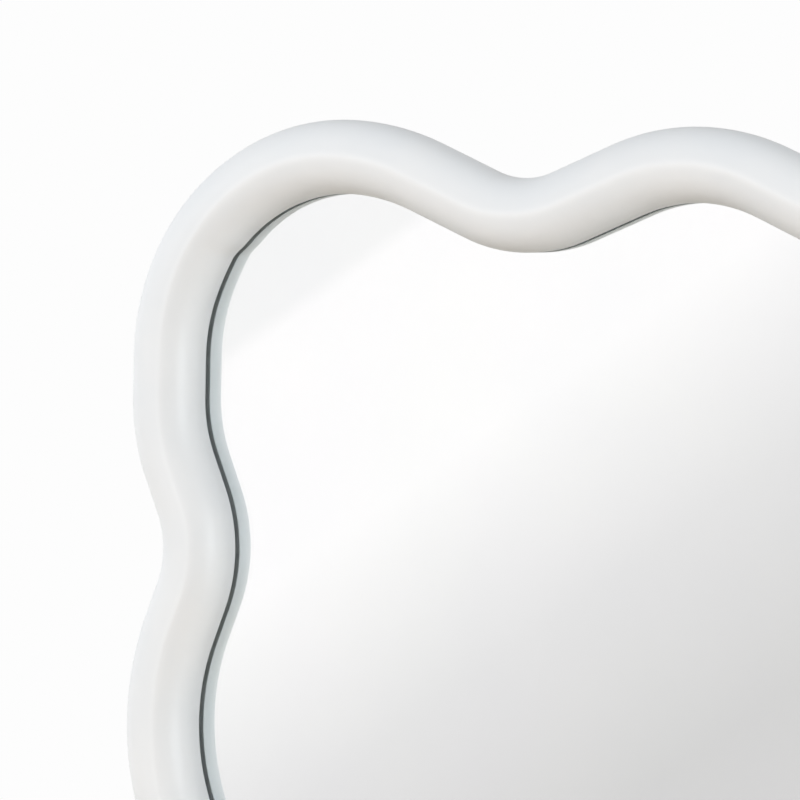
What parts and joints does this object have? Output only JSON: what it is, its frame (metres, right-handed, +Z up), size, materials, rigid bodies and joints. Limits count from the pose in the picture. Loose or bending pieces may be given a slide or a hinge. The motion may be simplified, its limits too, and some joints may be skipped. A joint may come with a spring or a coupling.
{
  "type": "rectangular wall mirror",
  "caption": "Upright wall mirror in a thick round white frame that runs in soft waves, with rabbeted glass, backing panel and swinging hanger rings behind.",
  "frame": {"origin": "middle of the mirror, on the plane of the wall that the bumpers touch", "axes": "+Z up, +Y into the wall (the glass faces -Y), +X to the right of someone looking into the mirror"},
  "size_m": [0.61, 0.0363, 0.914],
  "materials": {
    "white_paint": "satin white lacquer on wood",
    "clear_glass": "clear polished float glass",
    "silver_coat": "silver coat with grey backing paint",
    "hardboard": "brown hardboard, smooth face out",
    "foam_tape": "white foam tape",
    "beech": "plain beech",
    "zinc_steel": "bright zinc plate",
    "black_rubber": "matt black rubber"
  },
  "bodies": {
    "mirror": {"top_rail": "white_paint", "bottom_rail": "white_paint", "left_stile": "white_paint", "right_stile": "white_paint", "mirror_glass": "clear_glass", "mirror_silvering": "silver_coat", "back_panel": "hardboard", "foam_tape_strips": "foam_tape", "upper_left_dowels": "beech", "upper_left_bumper": "black_rubber", "upper_right_dowels": "beech", "upper_right_bumper": "black_rubber", "lower_left_dowels": "beech", "lower_left_bumper": "black_rubber", "lower_right_dowels": "beech", "lower_right_bumper": "black_rubber", "retainer_tabs": "zinc_steel", "tab_screws": "zinc_steel", "left_hanger_strap": "zinc_steel", "right_hanger_strap": "zinc_steel", "left_hanger_screws": "zinc_steel", "right_hanger_screws": "zinc_steel"},
    "left_ring": {"left_d_ring": "zinc_steel"},
    "right_ring": {"right_d_ring": "zinc_steel"}
  },
  "joints": [
    {"name": "left_ring_swing", "type": "hinge", "parent": "mirror", "child": "left_ring", "pos_m": [-0.28942, -0.00374, 0.18552], "axis": [1, 0, 0], "range_deg": [0, 180]},
    {"name": "right_ring_swing", "type": "hinge", "parent": "mirror", "child": "right_ring", "pos_m": [0.28942, -0.00374, 0.18552], "axis": [1, 0, 0], "range_deg": [0, 180]}
  ]
}
